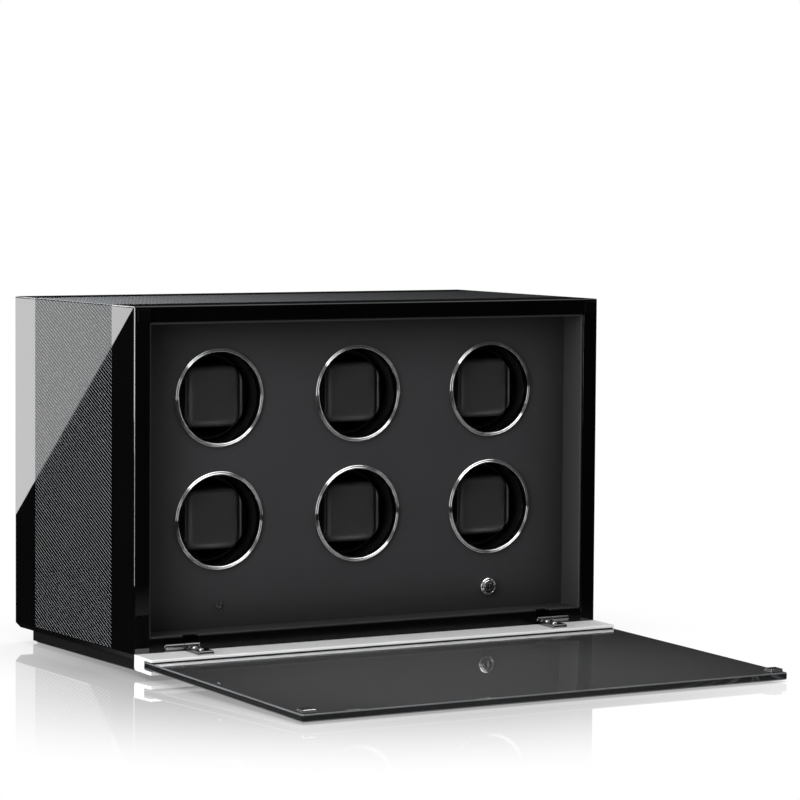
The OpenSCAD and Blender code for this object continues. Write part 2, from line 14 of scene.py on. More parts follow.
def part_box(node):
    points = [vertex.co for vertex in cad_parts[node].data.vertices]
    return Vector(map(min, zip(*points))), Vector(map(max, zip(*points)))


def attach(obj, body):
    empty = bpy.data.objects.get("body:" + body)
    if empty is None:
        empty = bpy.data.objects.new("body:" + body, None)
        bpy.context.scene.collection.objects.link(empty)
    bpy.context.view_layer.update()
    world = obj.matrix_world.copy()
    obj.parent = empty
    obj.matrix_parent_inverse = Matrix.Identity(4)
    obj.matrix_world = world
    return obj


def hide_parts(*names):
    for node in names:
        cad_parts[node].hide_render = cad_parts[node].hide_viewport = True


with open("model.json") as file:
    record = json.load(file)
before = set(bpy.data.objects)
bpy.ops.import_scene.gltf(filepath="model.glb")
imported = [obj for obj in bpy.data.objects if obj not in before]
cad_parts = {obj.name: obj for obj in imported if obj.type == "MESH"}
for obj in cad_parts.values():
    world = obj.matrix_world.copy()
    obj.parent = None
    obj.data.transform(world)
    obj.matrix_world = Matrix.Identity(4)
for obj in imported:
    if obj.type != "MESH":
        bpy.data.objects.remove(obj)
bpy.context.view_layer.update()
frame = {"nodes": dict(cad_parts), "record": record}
SCENE = bpy.context.scene
MM = 0.001

STATIONS = range(1, 7)
# The front face of the cabinet, which most depths below are measured from.
FRONT_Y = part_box("bottom_panel")[0].y


def middle(node):
    """The middle of a CAD node's box."""
    low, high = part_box(node)
    return (low + high) / 2


def nodes(*names):
    """The objects of some CAD nodes."""
    return [frame["nodes"][name] for name in names]


# ---------- Camera ----------

CAMERA_PLACE = Vector((-1.5615, -2.7608, 0.4427))
CAMERA_AZIMUTH = math.radians(-31.04)
CAMERA_ELEVATION = math.radians(3.936)
CAMERA_ROLL = math.radians(0.407)
CAMERA_LENS = 154.49
SENSOR_WIDTH = 36


def make_camera():
    """The camera at the photograph's viewing angle."""
    data = bpy.data.cameras.new("camera")
    data.lens = CAMERA_LENS
    data.sensor_width = SENSOR_WIDTH
    camera = bpy.data.objects.new("camera", data)
    SCENE.collection.objects.link(camera)
    azimuth, elevation, roll = CAMERA_AZIMUTH, CAMERA_ELEVATION, CAMERA_ROLL
    back = Vector(
        (
            math.sin(azimuth) * math.cos(elevation),
            -math.cos(azimuth) * math.cos(elevation),
            math.sin(elevation),
        )
    )
    right = Vector((math.cos(azimuth), math.sin(azimuth), 0))
    up = back.cross(right)
    level = Matrix((right, up, back)).transposed()
    turn = Matrix.Rotation(roll, 3, "Z")
    camera.matrix_world = Matrix.LocRotScale(CAMERA_PLACE, (level @ turn).to_quaternion(), None)
    SCENE.camera = camera


make_camera()


# ---------- Material helpers ----------


class Graph:
    """A material and its node tree, with short calls for the nodes that repeat."""

    def __init__(self, name, **sockets):
        self.material = bpy.data.materials.new("look_" + name)
        self.material.use_nodes = True
        self.tree = self.material.node_tree
        self.shader = self.tree.nodes["Principled BSDF"]
        self.place = self.add("ShaderNodeTexCoord").outputs["Object"]
        for socket, value in sockets.items():
            self.shader.inputs[socket.replace("_", " ")].default_value = value

    def add(self, kind, inputs=(), **settings):
        """Adds a node, sets its properties, and fills its input sockets by name or number."""
        made = self.tree.nodes.new(kind)
        for key, value in settings.items():
            setattr(made, key, value)
        for key, value in dict(inputs).items():
            self.put(made.inputs[key], value)
        return made

    def put(self, socket, value):
        """Links a value that is an output socket, and stores any other value."""
        if isinstance(value, bpy.types.NodeSocket):
            self.tree.links.new(value, socket)
        else:
            socket.default_value = value

    def math(self, operation, *values):
        """The result of a Math node on values, which are numbers or output sockets."""
        return self.add("ShaderNodeMath", enumerate(values), operation=operation).outputs[0]

    def noise(self, scale, detail=3.0, stretch=(1, 1, 1)):
        """Noise whose grains are about 1/scale metres across, stretched by dividing each axis."""
        spread = self.add(
            "ShaderNodeMapping", {"Vector": self.place, "Scale": [scale / s for s in stretch]}
        )
        made = self.add(
            "ShaderNodeTexNoise",
            {"Vector": spread.outputs[0], "Scale": 1.0, "Detail": detail},
        )
        return made.outputs["Fac"]

    def cells(self, scale, feature="DISTANCE_TO_EDGE"):
        """The distance to the nearest edge of a pattern of pebbles about 1/scale metres across."""
        made = self.add(
            "ShaderNodeTexVoronoi", {"Vector": self.place, "Scale": scale}, feature=feature
        )
        return made.outputs["Distance"]

    def ramp(self, value, low, high, start=0.0, end=1.0):
        """Carries value from start..end over to low..high."""
        made = self.add(
            "ShaderNodeMapRange",
            {"Value": value, "From Min": start, "From Max": end, "To Min": low, "To Max": high},
        )
        return made.outputs[0]

    def blend(self, factor, first, second):
        """A colour between two greys or colours."""
        made = self.add("ShaderNodeMix", data_type="RGBA")
        for name, value in (("Factor_Float", factor), ("A_Color", first), ("B_Color", second)):
            self.put(next(s for s in made.inputs if s.identifier == name), value)
        return next(s for s in made.outputs if s.identifier == "Result_Color")

    def bump(self, height, depth, edge=0.0):
        """Presses height, from 0 to 1, into the surface as relief depth metres deep.

        With edge, sharp edges also catch the light as if rounded by that many metres.
        """
        made = self.add("ShaderNodeBump", {"Height": height, "Distance": depth})
        if edge:
            soft = self.add("ShaderNodeBevel", {"Radius": edge}, samples=6)
            self.put(made.inputs["Normal"], soft.outputs[0])
        self.tree.links.new(made.outputs[0], self.shader.inputs["Normal"])

    def drive(self, socket, value):
        """Links value, an output socket, to one of the shader's sockets."""
        self.tree.links.new(value, self.shader.inputs[socket])


def grey(value, warmth=0.0):
    """A grey, a little warmer or cooler."""
    return (value * (1 + warmth), value, value * (1 - warmth), 1.0)


def grained(
    name,
    dark,
    light,
    roughness,
    spread=0.06,
    scale=400.0,
    stretch=(1, 1, 1),
    depth=0.02 * MM,
    **sockets,
):
    """A surface whose colour, roughness and relief all vary with one fine grain."""
    graph = Graph(name, **sockets)
    fine = graph.noise(scale, 4.0, stretch)
    broad = graph.noise(scale / 40, 2.0, stretch)
    graph.drive("Base Color", graph.blend(graph.ramp(broad, 0, 1, 0.3, 0.7), dark, light))
    graph.drive(
        "Roughness", graph.ramp(fine, roughness - spread, roughness + spread, 0.25, 0.75)
    )
    graph.bump(fine, depth)
    return graph.material


def lacquer_material():
    """Black piano lacquer: a clear polished skin with a trace of orange peel and dust."""
    graph = Graph("lacquer", IOR=1.5, Specular_IOR_Level=0.5)
    broad = graph.noise(9, 2.0)
    graph.drive("Base Color", graph.blend(broad, grey(0.0004), grey(0.001, -0.06)))
    graph.drive("Roughness", graph.ramp(graph.noise(60, 3.0), 0.0, 0.018, 0.45, 0.75))
    graph.bump(graph.noise(45, 1.0), 0.0015 * MM, edge=0.4 * MM)
    return graph.material


# Periods of the carbon weave, across the band and round the cabinet, and the threads in each.
WEAVE_ACROSS = 6.85 * MM
WEAVE_ROUND = 3.5 * MM
THREADS = 4
# How much narrower than its thread the painted sheen along each float is.
SHEEN_SHARPNESS = 4.0


def carbon_material(name, axis, dark, light):
    """Carbon twill under clear lacquer, with a painted sheen along the crest of each float. axis is
    the axis that runs round the cabinet.
    """
    graph = Graph(
        name,
        Metallic=0.0,
        IOR=1.5,
        Specular_IOR_Level=0.0,
        Coat_Weight=0.36,
        Coat_Roughness=0.02,
        Coat_IOR=1.5,
    )
    split = graph.add("ShaderNodeSeparateXYZ", {"Vector": graph.place})
    across = graph.math("MULTIPLY", split.outputs["Y"], THREADS / WEAVE_ACROSS)
    along = graph.math("MULTIPLY", split.outputs[axis], THREADS / WEAVE_ROUND)
    column, row = graph.math("FLOOR", across), graph.math("FLOOR", along)
    step = graph.math("FLOORED_MODULO", graph.math("SUBTRACT", column, row), THREADS)
    on_top = graph.math("LESS_THAN", step, THREADS / 2)
    # Each float arches over two crossings, and is highest where they meet.
    reach = graph.math("SUBTRACT", step, graph.math("FRACT", along))
    arch = graph.math("COSINE", graph.math("MULTIPLY", reach, math.pi / 2))
    hump = graph.math("SINE", graph.math("MULTIPLY", graph.math("FRACT", across), math.pi))
    height = graph.math("MULTIPLY", graph.math("MULTIPLY", arch, hump), on_top)
    fibres = graph.noise(1500, 2.0)
    # Painted sheen: the colour is brightest along each float's crest, standing in for the light the
    # arched tows catch.
    painted_sheen = graph.math("POWER", height, SHEEN_SHARPNESS)
    shade = graph.math("MULTIPLY", painted_sheen, graph.ramp(fibres, 0.7, 1.2))
    graph.drive("Base Color", graph.blend(shade, dark, light))
    graph.drive("Roughness", graph.ramp(on_top, 0.55, 0.4))
    graph.bump(height, 0.04 * MM)
    return graph.material


# How far from a corner of the recess the painted shade on the lining reaches.
PAINTED_SHADE_REACH = 60 * MM


def leather_material(name, dark, light, grain, depth, roughness, corners=1.0, **sockets):
    """Embossed leatherette: small pebbles parted by creases, with a finer grain on them.

    In deep corners its colour is multiplied down towards corners: painted shade that stands in for
    the shadow of the recess walls.
    """
    graph = Graph(name, IOR=1.46, **sockets)
    pebbles = graph.ramp(graph.cells(grain), 0.0, 1.0, 0.0, 0.35)
    fine = graph.noise(grain * 4, 3.0)
    broad = graph.noise(14, 3.0)
    shade = graph.math("MULTIPLY", graph.math("POWER", pebbles, 0.4), graph.ramp(broad, 0.8, 1.1))
    colour = graph.blend(shade, dark, light)
    if corners < 1:
        # Painted shade: ambient occlusion darkens the lining's colour near the recess walls.
        corner_occlusion = graph.add("ShaderNodeAmbientOcclusion", {"Distance": PAINTED_SHADE_REACH}, samples=6)
        painted_shade = graph.ramp(corner_occlusion.outputs["AO"], corners, 1.0, 0.5, 1.0)
        colour = graph.blend(painted_shade, grey(0.0), colour)
    graph.drive("Base Color", colour)
    worn = graph.ramp(broad, roughness - 0.05, roughness + 0.05)
    graph.drive("Roughness", graph.math("ADD", worn, graph.ramp(fine, -0.05, 0.05)))
    graph.bump(graph.math("ADD", pebbles, graph.math("MULTIPLY", fine, 0.35)), depth)
    return graph.material


def brushed_material(name, dark, light, roughness, stretch, depth=0.006 * MM, metallic=1.0):
    """Metal brushed along one axis, with fine lines in colour, roughness and relief."""
    graph = Graph(name, Metallic=metallic)
    lines = graph.noise(2600, 3.0, stretch)
    broad = graph.noise(12, 2.0, stretch)
    graph.drive("Base Color", graph.blend(graph.ramp(broad, 0, 1, 0.3, 0.7), dark, light))
    graph.drive("Roughness", graph.ramp(lines, roughness - 0.07, roughness + 0.07, 0.25, 0.75))
    graph.bump(lines, depth)
    return graph.material


GLASS_TINT = (0.36, 0.364, 0.37, 1.0)


def glass_material():
    """Smoked glass. Lamps shine through it as through a tinted sheet, not as through a solid."""
    graph = Graph(
        "smoked_glass",
        Base_Color=GLASS_TINT,
        IOR=1.5,
        Transmission_Weight=0.986,
    )
    graph.drive("Roughness", graph.ramp(graph.noise(300, 2.0), 0.0, 0.012, 0.4, 0.7))
    shadow = graph.add("ShaderNodeLightPath").outputs["Is Shadow Ray"]
    clear = graph.add("ShaderNodeBsdfTransparent", {"Color": GLASS_TINT})
    mixed = graph.add(
        "ShaderNodeMixShader", {0: shadow, 1: graph.shader.outputs[0], 2: clear.outputs[0]}
    )
    graph.put(graph.tree.nodes["Material Output"].inputs["Surface"], mixed.outputs[0])
    return graph.material


def board_material():
    """Green solder mask with the faint relief of the copper tracks under it."""
    graph = Graph("board", IOR=1.5, Specular_IOR_Level=0.5)
    tracks = graph.add(
        "ShaderNodeTexBrick",
        {"Vector": graph.place, "Scale": 220.0, "Mortar Size": 0.03},
    ).outputs["Fac"]
    graph.drive(
        "Base Color", graph.blend(tracks, (0.012, 0.085, 0.035, 1), (0.03, 0.17, 0.07, 1))
    )
    graph.drive("Roughness", graph.ramp(graph.noise(500), 0.25, 0.4))
    graph.bump(tracks, 0.05 * MM)
    return graph.material


LOOKS = {
    "ground_edge": grained(
        "ground_edge", grey(0.09, -0.04), grey(0.13, -0.06), 0.45, scale=900, depth=0.02 * MM
    ),
    "lacquer": lacquer_material(),
    "sill": grained("sill", grey(0.0006), grey(0.0012), 0.2, Specular_IOR_Level=0.1),
    "carbon": carbon_material("carbon", "Z", grey(0.001), grey(0.42, -0.05)),
    "smoked_glass": glass_material(),
    "board": board_material(),
    "leatherette": leather_material(
        "leatherette", (0.018, 0.0175, 0.019, 1), (0.037, 0.0355, 0.039, 1), 1500, 0.05 * MM, 0.62,
        # corners sets how dark the painted shade gets in the recess corners.
        corners=0.3,
    ),
    "cushion_leather": leather_material(
        "cushion_leather", grey(0.012), grey(0.026), 900, 0.09 * MM, 0.46
    ),
    "aluminium": brushed_material(
        "aluminium", grey(0.84, -0.01), grey(0.92), 0.42, (60, 1, 1), metallic=0.45
    ),
    "catch_steel": brushed_material("catch_steel", grey(0.5), grey(0.6), 0.12, (1, 8, 1)),
    "steel": brushed_material("steel", grey(0.50, 0.01), grey(0.62), 0.28, (1, 1, 8)),
    "chrome": grained(
        "chrome",
        grey(0.84, -0.01),
        grey(0.90, -0.01),
        0.06,
        0.03,
        700,
        depth=0.001 * MM,
        Metallic=1.0,
    ),
    "button_steel": grained(
        "button_steel", grey(0.13), grey(0.18), 0.16, 0.04, 900, depth=0.001 * MM, Metallic=1.0
    ),
    "brass": grained(
        "brass", (0.60, 0.42, 0.16, 1), (0.78, 0.58, 0.27, 1), 0.3, depth=0.008 * MM, Metallic=1.0
    ),
    "black_gloss": grained(
        "black_gloss", grey(0.003), grey(0.006), 0.12, 0.03, 500, depth=0.003 * MM, IOR=1.5
    ),
    "plinth_black": grained("plinth_black", grey(0.002), grey(0.004), 0.4, Specular_IOR_Level=0.3),
    "pad": grained("pad", grey(0.02), grey(0.034), 0.85, scale=900, depth=0.12 * MM),
    "cover_board": grained("cover_board", grey(0.012), grey(0.02), 0.5, scale=250, depth=0.05 * MM),
    "mech_board": grained("mech_board", grey(0.15), grey(0.22), 0.6, scale=500, depth=0.03 * MM),
    "belt": grained("belt", grey(0.014), grey(0.025), 0.75, scale=1200, depth=0.04 * MM),
    "black_plastic": grained(
        "black_plastic", grey(0.014), grey(0.022), 0.42, scale=1500, depth=0.03 * MM
    ),
    "window": grained("window", grey(0.016), grey(0.022), 0.06, 0.02, depth=0.001 * MM, IOR=2.2),
    "hinge_black": grained(
        "hinge_black", grey(0.2), grey(0.28), 0.16, scale=1400, depth=0.004 * MM, Metallic=1.0
    ),
    "magnet": grained(
        "magnet",
        grey(0.0005),
        grey(0.001),
        0.6,
        scale=900,
        depth=0.02 * MM,
        Specular_IOR_Level=0.05,
    ),
    "gasket": grained("gasket", grey(0.010), grey(0.018), 0.7, scale=900, depth=0.03 * MM),
    "pulley_plastic": grained(
        "pulley_plastic", (0.66, 0.63, 0.54, 1), (0.76, 0.74, 0.66, 1), 0.45, depth=0.02 * MM
    ),
}
# CAD nodes whose look differs from the rest of their slot's.
OWN_LOOKS = {
    # The top's carbon has darker, lower-contrast colours than the sides': a painted difference for
    # how the light falls on it at grazing.
    "carbon_inlay_top": carbon_material("carbon_top", "X", grey(0.016, -0.04), grey(0.036, -0.05)),
    "catch_plates": LOOKS["catch_steel"],
    "bottom_panel": LOOKS["sill"],
}


# ---------- Mesh helpers ----------


# Edges sharper than this stay sharp in the shading, and edges sharper than the next are rounded.
SHARP_ANGLE = math.radians(50)
BEVEL_ANGLE = math.radians(30)
# Faces that meet flatter than this are joined, and points closer than this are one point.
FLAT_ANGLE = math.radians(0.1)
WELD_GAP = 0.001 * MM
# A radius below this is a point on the axis.
ON_AXIS = 1e-7


def edge_finisher():
    """A node group that shades smoothly except over sharp edges, without imported normals."""
    group = bpy.data.node_groups.new("finish_edges", "GeometryNodeTree")
    for name, way in (("Geometry", "INPUT"), ("Geometry", "OUTPUT")):
        group.interface.new_socket(name, in_out=way, socket_type="NodeSocketGeometry")
    add, links = group.nodes.new, group.links
    start = add("NodeGroupInput")
    bare = add("GeometryNodeRemoveAttribute")
    bare.inputs["Name"].default_value = "custom_normal"
    smooth = add("GeometryNodeSetShadeSmooth")
    creases = add("GeometryNodeSetShadeSmooth")
    creases.domain = "EDGE"
    creases.inputs["Shade Smooth"].default_value = False
    angle = add("GeometryNodeInputMeshEdgeAngle")
    sharp = add("FunctionNodeCompare")
    sharp.inputs["B"].default_value = SHARP_ANGLE
    end = add("NodeGroupOutput")
    links.new(start.outputs[0], bare.inputs["Geometry"])
    links.new(bare.outputs[0], smooth.inputs["Geometry"])
    links.new(smooth.outputs[0], creases.inputs["Geometry"])
    links.new(angle.outputs["Unsigned Angle"], sharp.inputs["A"])
    links.new(sharp.outputs[0], creases.inputs["Selection"])
    links.new(creases.outputs[0], end.inputs[0])
    return group


EDGE_FINISHER = edge_finisher()


def finish_edges(obj, bevel=0.0, segments=2):
    """Rounds an object's sharp edges by bevel and shades its faces truly flat or smooth."""
    if bevel:
        weld = obj.modifiers.new("weld", "WELD")
        weld.merge_threshold = WELD_GAP
        flat = obj.modifiers.new("flat", "DECIMATE")
        flat.decimate_type = "DISSOLVE"
        flat.angle_limit = FLAT_ANGLE
        cut = obj.modifiers.new("bevel", "BEVEL")
        cut.width = bevel
        cut.segments = segments
        cut.limit_method = "ANGLE"
        cut.angle_limit = BEVEL_ANGLE
        cut.use_clamp_overlap = True
    finisher = obj.modifiers.new("finish", "NODES")
    finisher.node_group = EDGE_FINISHER
    weighted = obj.modifiers.new("weighted", "WEIGHTED_NORMAL")
    weighted.keep_sharp = True


def new_piece(name, mesh, body, slot, stands_for=(), place=(0, 0, 0)):
    """Makes a piece of the object, in place, riding on its body."""
    obj = bpy.data.objects.new(name, mesh)
    SCENE.collection.objects.link(obj)
    obj.location = place
    if not mesh.materials:
        mesh.materials.append(LOOKS[slot])
    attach(obj, body)
    if stands_for:
        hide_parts(*stands_for)
    return obj


def rounded(corners, steps=4):
    """The outline through corners (x, y, radius), each corner turned into an arc of that radius."""
    points = []
    for k, (x, y, radius) in enumerate(corners):
        corner = Vector((x, y))
        if not radius:
            points.append(corner)
            continue
        before = Vector(corners[k - 1][:2]) - corner
        after = Vector(corners[(k + 1) % len(corners)][:2]) - corner
        half = before.angle(after) / 2
        run = radius / math.tan(half)
        start, end = corner + before.normalized() * run, corner + after.normalized() * run
        centre = corner + (before.normalized() + after.normalized()).normalized() * (
            radius / math.sin(half)
        )
        first, last = start - centre, end - centre
        sweep = first.angle_signed(last)
        for s in range(steps + 1):
            points.append(centre + Matrix.Rotation(-sweep * s / steps, 2) @ first)
    return points


def turned(outline, centres, segments=96):
    """Vertices and faces of outline (radius, y) turned about Y at each centre (x, z)."""
    vertices, faces = [], []
    for x, z in centres:
        rings = []
        for radius, y in outline:
            if radius < ON_AXIS:
                rings.append([len(vertices)] * segments)
                vertices.append((x, y, z))
                continue
            rings.append(list(range(len(vertices), len(vertices) + segments)))
            for k in range(segments):
                angle = 2 * math.pi * k / segments
                vertices.append((x + radius * math.cos(angle), y, z + radius * math.sin(angle)))
        closed = outline[0][0] > ON_AXIS
        following = rings[1:] + rings[:1] if closed else rings[1:]
        for first, second in zip(rings, following):
            for k in range(segments):
                n = (k + 1) % segments
                corners = [first[k], second[k], second[n], first[n]]
                faces.append([c for i, c in enumerate(corners) if c not in corners[:i]])
    return vertices, faces


def mesh_of(name, vertices, faces):
    """A new mesh."""
    mesh = bpy.data.meshes.new(name)
    mesh.from_pydata([tuple(v) for v in vertices], [], faces)
    mesh.update()
    return mesh


def from_front(points):
    """Turns (radius in mm, depth behind the cabinet's front in mm) into metres in the frame."""
    return [(p[0] * MM, FRONT_Y + p[1] * MM) for p in points]


# ---------- Carried-over CAD nodes ----------

# The nodes whose edges are rounded by each width in millimetres.
BEVELS = {
    0.5: ["base_plinth", "rear_cover", "catch_magnets"],
    0.3: [
        "left_side_panel",
        "right_side_panel",
        "top_panel",
        "bottom_panel",
        "hinge_door_leaves",
        "hinge_cabinet_leaves",
        "catch_plates",
        "door_profile",
        "control_board",
        "base_pad",
    ],
    1.1: ["door_glass"],
    0.6: ["recess_liner", "mechanism_plate"] + [f"end_plates_{n}" for n in STATIONS],
    0.2: ["gear_motors", "dc_inlet", "shaft_bushes", "board_standoffs"]
    + [f"motor_pulley_{n}" for n in STATIONS],
    0.1: [
        "rear_cover_screws",
        "mechanism_plate_screws",
        "hinge_cabinet_screws",
        "hinge_leaf_screws",
        "hinge_pins",
        "glass_gasket",
    ],
    0.35: [f"rotor_{n}" for n in STATIONS],
    0: ["front_panel", "drive_belts"]
    + [f"carbon_inlay_{side}" for side in ("left", "right", "top")],
}
slot_of = {part["node"]: part["material_slot"] for part in frame["record"]["subparts"]}
for name, obj in frame["nodes"].items():
    look = OWN_LOOKS.get(name, LOOKS[slot_of[name]])
    for k in range(len(obj.material_slots)):
        obj.material_slots[k].material = look
for width, names in BEVELS.items():
    for obj in nodes(*names):
        finish_edges(obj, width * MM)
# The glass's bevelled edges are ground, so they look pale where its faces look dark.
glass = frame["nodes"]["door_glass"]
glass.data.materials.append(LOOKS["ground_edge"])
glass.modifiers["bevel"].material = len(glass.material_slots) - 1


# ---------- Rings, sleeves, switch and window ----------

centres = [(middle(f"cushion_{n}").x, middle(f"cushion_{n}").z) for n in STATIONS]


def turned_piece(name, corners, body, slot, stands_for, places, segments=96, steps=4):
    """A turned piece from an outline of (radius, depth, fillet) in millimetres."""
    outline = from_front(rounded(corners, steps))
    mesh = mesh_of(name, *turned(outline, places, segments))
    obj = new_piece(name, mesh, body, slot, stands_for)
    finish_edges(obj)
    return obj


turned_piece(
    "bezel_rings_turned",
    [
        (40.6, 35.5, 0),
        (40.6, 28.2, 0.75),
        (42.1, 28.2, 0.75),
        (42.1, 29.1, 0),
        (42.3, 29.1, 0),
        (42.3, 28.5, 0.6),
        (43.8, 28.5, 0.85),
        (43.8, 30.5, 0),
        (41.9, 30.5, 0),
        (41.9, 35.5, 0),
    ],
    "cabinet",
    "chrome",
    ["bezel_rings"],
    centres,
    segments=144,
    steps=6,
)
turned_piece(
    "rotor_sleeves_turned",
    [
        (40.6, 35.5, 0.2),
        (48, 35.5, 0.3),
        (48, 37.5, 0.3),
        (42.4, 37.5, 0.2),
        (42.4, 94, 0.3),
        (40.6, 94, 0.3),
    ],
    "cabinet",
    "black_gloss",
    ["rotor_sleeves"],
    centres,
    segments=144,
)

switch = middle("push_button")
turned_piece(
    "switch_ring",
    [
        (8.3, 30.5, 0),
        (8.3, 28.5, 1.1),
        (7.2, 28.5, 0.2),
        (7.2, 29.9, 0),
        (6.5, 29.9, 0),
        (6.5, 27.2, 0.5),
        (5.5, 27.2, 0.35),
        (5.06, 27.7, 0.1),
        (5.06, 36.5, 0),
        (1.62, 36.5, 0),
        (1.62, 42, 0),
        (6.1, 52.5, 0.4),
        (6.1, 38, 0),
        (8.2, 38, 0.3),
        (8.2, 35.5, 0.3),
        (6.1, 35.5, 0),
        (6.1, 30.5, 0),
    ],
    "cabinet",
    "chrome",
    ["switch_body"],
    [(switch.x, switch.z)],
)
turned_piece(
    "button_cap",
    [
        (0, 26.9, 0),
        (3.4, 26.75, 0),
        (4.1, 26.5, 0.3),
        (4.95, 26.9, 0.4),
        (5.0, 34.5, 0.3),
        (1.5, 34.5, 0),
        (1.5, 39.5, 0.3),
        (0, 39.5, 0),
    ],
    "push_button",
    "chrome",
    ["push_button"],
    [(switch.x, switch.z)],
)
bpy.data.objects["button_cap"].material_slots[0].material = LOOKS["button_steel"]


# The button's symbol: the depths of its ring's face, of its bar's face, and of their backs.
SYMBOL_RING_FACE = 26.6
SYMBOL_BAR_FACE = 26.4
SYMBOL_BACK = 27.1


def slab(points, front, back):
    """A closed plate whose outline (x, z) is in millimetres round the switch's axis."""
    count = len(points)
    vertices = [
        (switch.x + x * MM, FRONT_Y + y * MM, switch.z + z * MM)
        for y in (front, back)
        for x, z in points
    ]
    faces = [list(range(count)), list(reversed(range(count, 2 * count)))]
    for k in range(count):
        n = (k + 1) % count
        faces.append([n, k, count + k, count + n])
    return vertices, faces


def symbol_ring():
    """The dark ring let into the button's face."""
    inner, outer = 2.3, 3.1
    face, back = SYMBOL_RING_FACE, SYMBOL_BACK
    outline = [(outer, face), (outer, back), (inner, back), (inner, face)]
    mesh = mesh_of("symbol_ring", *turned(from_front(outline), [(switch.x, switch.z)], 48))
    new_piece("symbol_ring", mesh, "push_button", "black_plastic")


def symbol_bar():
    """The polished upright bar through the ring, with round ends."""
    x, z, end = 0.45, 3.6, 0.42
    outline = rounded([(-x, -z, end), (x, -z, end), (x, z, end), (-x, z, end)])
    mesh = mesh_of("symbol_bar", *slab(outline, SYMBOL_BAR_FACE, SYMBOL_BACK))
    obj = new_piece("symbol_bar", mesh, "push_button", "chrome")
    finish_edges(obj, end * MM, 4)


symbol_ring()
symbol_bar()

window = middle("indicator_window")
turned_piece(
    "indicator_lens",
    [
        (0, 29.55, 0),
        (1.1, 29.6, 0),
        (2.1, 29.75, 0),
        (2.15, 30.15, 0),
        (2.3, 30.15, 0),
        (3.05, 29.35, 0),
        (3.3, 29.35, 0),
        (3.4, 29.9, 0.1),
        (3.4, 38.5, 0.3),
        (0, 38.5, 0),
    ],
    "cabinet",
    "window",
    ["indicator_window"],
    [(window.x, window.z)],
)


# ---------- Cushions ----------

PAD_LOW, PAD_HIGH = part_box("cushion_1")
PAD_MIDDLE = (PAD_LOW + PAD_HIGH) / 2
PAD_HALF = (PAD_HIGH - PAD_LOW) / 2
# The radius that a pad's corners keep to, so that they clear the rotor cup.
PAD_REACH = 35.9 * MM
# The slack cover's size as a share of the pad's, and how much it is enlarged once swollen.
PAD_START = 0.94
PAD_STRETCH = 1.03
# The most that a point may move as the pad swells.
PAD_CAP = 3.5 * MM
VOXEL = 3.5 * MM
PAD_CORNER = 7
# Places along the pad as shares of its half length, each with the size of the cover there.
PAD_SLICES = [(-1.0, 0.90), (-0.94, 0.97), (-0.8, 1.0), (0.8, 1.0), (0.94, 0.97), (1.0, 0.90)]
SWELL_FRAMES = 20
# The piping's distance from the pad's ends, its radius, how deep it sits, and its length in steps.
SEAM_INSET = 1.2 * MM
SEAM_RADIUS = 0.5 * MM
SEAM_SINK = 0.1 * MM
SEAM_STEPS = 120
# Farther than any point of a pad is from its middle.
OUTSIDE = 0.1


def pad_block():
    """The slack cushion cover: a soft-cornered block round the origin, a little too small."""
    half_y, half_z = PAD_HALF.y / MM, PAD_HALF.z / MM
    signs = ((-1, -1), (1, -1), (1, 1), (-1, 1))
    outline = rounded([(half_y * y, half_z * z, PAD_CORNER) for y, z in signs], 6)
    vertices, count = [], len(outline)
    for x, size in PAD_SLICES:
        scale = MM * size * PAD_START
        vertices += [(x * PAD_HALF.x * PAD_START, y * scale, z * scale) for y, z in outline]
    last = len(vertices) - count
    faces = [list(range(count)), list(reversed(range(last, last + count)))]
    for a in range(0, last, count):
        b = a + count
        for k in range(count):
            n = (k + 1) % count
            faces.append([a + k, b + k, b + n, a + n])
    return mesh_of("pad_block", vertices, faces)


def inside_rotor(point):
    """Keeps a point of the pad inside the rotor cup and between the end plates."""
    x = max(-PAD_HALF.x, min(PAD_HALF.x, point.x))
    reach = math.hypot(x, point.z)
    share = min(1.0, PAD_REACH / reach) if reach else 1.0
    y = max(-PAD_HALF.y, min(PAD_HALF.y, point.y))
    return Vector((x * share, y, point.z * share))


def make_pad():
    """The stuffed cushion, swollen by cloth simulation and then kept inside the rotor."""
    obj = bpy.data.objects.new("pad_work", pad_block())
    SCENE.collection.objects.link(obj)
    bpy.context.view_layer.objects.active = obj
    obj.select_set(True)
    remesh = obj.modifiers.new("remesh", "REMESH")
    remesh.mode = "VOXEL"
    remesh.voxel_size = VOXEL
    bpy.ops.object.modifier_apply(modifier=remesh.name)
    rest = [v.co.copy() for v in obj.data.vertices]
    cloth = obj.modifiers.new("cloth", "CLOTH")
    cloth.settings.use_pressure = True
    cloth.settings.uniform_pressure_force = 4
    cloth.settings.effector_weights.gravity = 0
    cloth.settings.quality = 8
    cloth.settings.tension_stiffness = 40
    cloth.settings.bending_stiffness = 6
    cloth.point_cache.frame_start, cloth.point_cache.frame_end = 1, SWELL_FRAMES
    for number in range(1, SWELL_FRAMES + 1):
        SCENE.frame_set(number)
    bpy.ops.object.modifier_apply(modifier=cloth.name)
    SCENE.frame_set(1)
    for vertex, start in zip(obj.data.vertices, rest):
        move = vertex.co - start
        if move.length > PAD_CAP:
            move *= PAD_CAP / move.length
        vertex.co = inside_rotor((start + move) * PAD_STRETCH)
    finer = obj.modifiers.new("finer", "SUBSURF")
    finer.levels = finer.render_levels = 1
    bpy.ops.object.modifier_apply(modifier=finer.name)
    mesh = obj.data
    for polygon in mesh.polygons:
        polygon.use_smooth = True
    bpy.data.objects.remove(obj)
    return mesh


